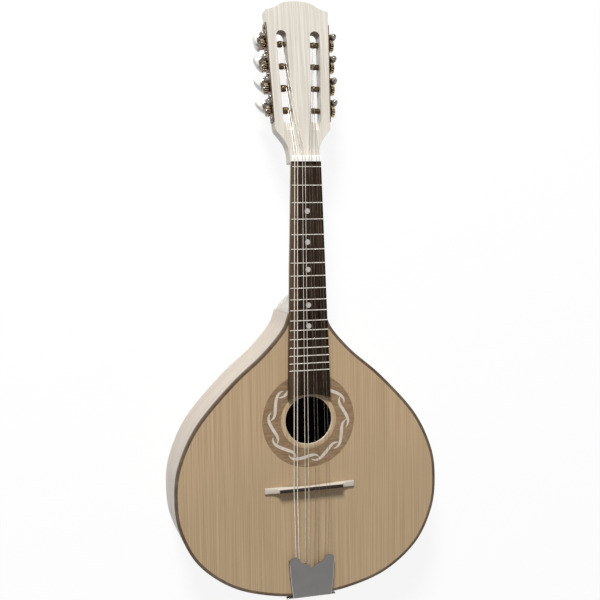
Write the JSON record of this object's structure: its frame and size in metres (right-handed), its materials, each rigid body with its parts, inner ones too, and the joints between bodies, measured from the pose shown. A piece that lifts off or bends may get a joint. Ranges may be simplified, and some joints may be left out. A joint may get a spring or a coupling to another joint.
{
  "type": "mandolin",
  "caption": "Flat-back mandolin with a pear-shaped body, slotted head, paired strings, floating bridge and worm-gear tuning machines.",
  "frame": {"origin": "centre of the bounding box in X and Y, on the plane of the flat back", "axes": "+Y from the tailpiece to the head, +Z from the back to the soundboard, +X to the treble side"},
  "size_m": [0.2978, 0.6516, 0.0764],
  "materials": {
    "soundboard_wood": "satin",
    "pale_wood": "satin",
    "inner_wood": "raw",
    "binding_wood": "satin",
    "rosette_wood": "satin",
    "ring_wood": "satin",
    "dark_wood": "satin",
    "bone": "polished",
    "plate_steel": "satin",
    "cover_chrome": "polished",
    "gear_brass": "worn",
    "button_plastic": "polished",
    "wound_string": "satin",
    "plain_string": "satin"
  },
  "bodies": {
    "instrument": {"back": "pale_wood", "back_lining": "inner_wood", "binding": "binding_wood", "bridge": "pale_wood", "bridge_saddle": "dark_wood", "fingerboard": "dark_wood", "headstock": "pale_wood", "neck": "pale_wood", "neck_block": "inner_wood", "nut": "bone", "rosette": "rosette_wood", "sides": "pale_wood", "sound_hole_ring": "ring_wood", "soundboard": "soundboard_wood", "string_g_outer": "wound_string", "string_g_inner": "wound_string", "string_d_outer": "wound_string", "string_d_inner": "wound_string", "string_a_inner": "plain_string", "string_a_outer": "plain_string", "string_e_inner": "plain_string", "string_e_outer": "plain_string", "tail_block": "inner_wood", "tailpiece_base": "plate_steel", "tailpiece_cover": "cover_chrome", "top_lining": "inner_wood", "tuner_plate_left": "plate_steel", "tuner_plate_right": "plate_steel"},
    "left_1_key": {"tuner_left_1_worm": "plate_steel", "tuner_left_1_button": "button_plastic"},
    "left_1_post": {"tuner_left_1_wheel": "gear_brass", "tuner_left_1_roller": "plate_steel"},
    "left_2_key": {"tuner_left_2_worm": "plate_steel", "tuner_left_2_button": "button_plastic"},
    "left_2_post": {"tuner_left_2_wheel": "gear_brass", "tuner_left_2_roller": "plate_steel"},
    "left_3_key": {"tuner_left_3_worm": "plate_steel", "tuner_left_3_button": "button_plastic"},
    "left_3_post": {"tuner_left_3_wheel": "gear_brass", "tuner_left_3_roller": "plate_steel"},
    "left_4_key": {"tuner_left_4_worm": "plate_steel", "tuner_left_4_button": "button_plastic"},
    "left_4_post": {"tuner_left_4_wheel": "gear_brass", "tuner_left_4_roller": "plate_steel"},
    "right_1_key": {"tuner_right_1_worm": "plate_steel", "tuner_right_1_button": "button_plastic"},
    "right_1_post": {"tuner_right_1_wheel": "gear_brass", "tuner_right_1_roller": "plate_steel"},
    "right_2_key": {"tuner_right_2_worm": "plate_steel", "tuner_right_2_button": "button_plastic"},
    "right_2_post": {"tuner_right_2_wheel": "gear_brass", "tuner_right_2_roller": "plate_steel"},
    "right_3_key": {"tuner_right_3_worm": "plate_steel", "tuner_right_3_button": "button_plastic"},
    "right_3_post": {"tuner_right_3_wheel": "gear_brass", "tuner_right_3_roller": "plate_steel"},
    "right_4_key": {"tuner_right_4_worm": "plate_steel", "tuner_right_4_button": "button_plastic"},
    "right_4_post": {"tuner_right_4_wheel": "gear_brass", "tuner_right_4_roller": "plate_steel"}
  },
  "joints": [
    {"name": "left_1_key_turn", "type": "hinge", "parent": "instrument", "child": "left_1_key", "pos_m": [-0.03934, 0.28701, 0.03769], "axis": [0, 0.1392, 0.9903], "continuous": true},
    {"name": "left_1_post_turn", "type": "hinge", "parent": "instrument", "child": "left_1_post", "pos_m": [-0.03905, 0.27879, 0.03884], "axis": [0.9994, 0.0344, -0.0048], "continuous": true},
    {"name": "left_2_key_turn", "type": "hinge", "parent": "instrument", "child": "left_2_key", "pos_m": [-0.0385, 0.26306, 0.04106], "axis": [0, 0.1392, 0.9903], "continuous": true},
    {"name": "left_2_post_turn", "type": "hinge", "parent": "instrument", "child": "left_2_post", "pos_m": [-0.03821, 0.25484, 0.04221], "axis": [0.9994, 0.0344, -0.0048], "continuous": true},
    {"name": "left_3_key_turn", "type": "hinge", "parent": "instrument", "child": "left_3_key", "pos_m": [-0.03766, 0.23911, 0.04442], "axis": [0, 0.1392, 0.9903], "continuous": true},
    {"name": "left_3_post_turn", "type": "hinge", "parent": "instrument", "child": "left_3_post", "pos_m": [-0.03737, 0.23089, 0.04558], "axis": [0.9994, 0.0344, -0.0048], "continuous": true},
    {"name": "left_4_key_turn", "type": "hinge", "parent": "instrument", "child": "left_4_key", "pos_m": [-0.03682, 0.21516, 0.04779], "axis": [0, 0.1392, 0.9903], "continuous": true},
    {"name": "left_4_post_turn", "type": "hinge", "parent": "instrument", "child": "left_4_post", "pos_m": [-0.03653, 0.20694, 0.04894], "axis": [0.9994, 0.0344, -0.0048], "continuous": true},
    {"name": "right_1_key_turn", "type": "hinge", "parent": "instrument", "child": "right_1_key", "pos_m": [0.03934, 0.28701, 0.03769], "axis": [0, 0.1392, 0.9903], "continuous": true},
    {"name": "right_1_post_turn", "type": "hinge", "parent": "instrument", "child": "right_1_post", "pos_m": [0.03905, 0.27879, 0.03884], "axis": [0.9994, -0.0344, 0.0048], "continuous": true},
    {"name": "right_2_key_turn", "type": "hinge", "parent": "instrument", "child": "right_2_key", "pos_m": [0.0385, 0.26306, 0.04106], "axis": [0, 0.1392, 0.9903], "continuous": true},
    {"name": "right_2_post_turn", "type": "hinge", "parent": "instrument", "child": "right_2_post", "pos_m": [0.03821, 0.25484, 0.04221], "axis": [0.9994, -0.0344, 0.0048], "continuous": true},
    {"name": "right_3_key_turn", "type": "hinge", "parent": "instrument", "child": "right_3_key", "pos_m": [0.03766, 0.23911, 0.04442], "axis": [0, 0.1392, 0.9903], "continuous": true},
    {"name": "right_3_post_turn", "type": "hinge", "parent": "instrument", "child": "right_3_post", "pos_m": [0.03737, 0.23089, 0.04558], "axis": [0.9994, -0.0344, 0.0048], "continuous": true},
    {"name": "right_4_key_turn", "type": "hinge", "parent": "instrument", "child": "right_4_key", "pos_m": [0.03682, 0.21516, 0.04779], "axis": [0, 0.1392, 0.9903], "continuous": true},
    {"name": "right_4_post_turn", "type": "hinge", "parent": "instrument", "child": "right_4_post", "pos_m": [0.03653, 0.20694, 0.04894], "axis": [0.9994, -0.0344, 0.0048], "continuous": true}
  ],
  "couplings": [
    {"joint": "left_1_post_turn", "follows": "left_1_key_turn", "ratio": -0.071429},
    {"joint": "left_2_post_turn", "follows": "left_2_key_turn", "ratio": -0.071429},
    {"joint": "left_3_post_turn", "follows": "left_3_key_turn", "ratio": -0.071429},
    {"joint": "left_4_post_turn", "follows": "left_4_key_turn", "ratio": -0.071429},
    {"joint": "right_1_post_turn", "follows": "right_1_key_turn", "ratio": -0.071429},
    {"joint": "right_2_post_turn", "follows": "right_2_key_turn", "ratio": -0.071429},
    {"joint": "right_3_post_turn", "follows": "right_3_key_turn", "ratio": -0.071429},
    {"joint": "right_4_post_turn", "follows": "right_4_key_turn", "ratio": -0.071429}
  ]
}
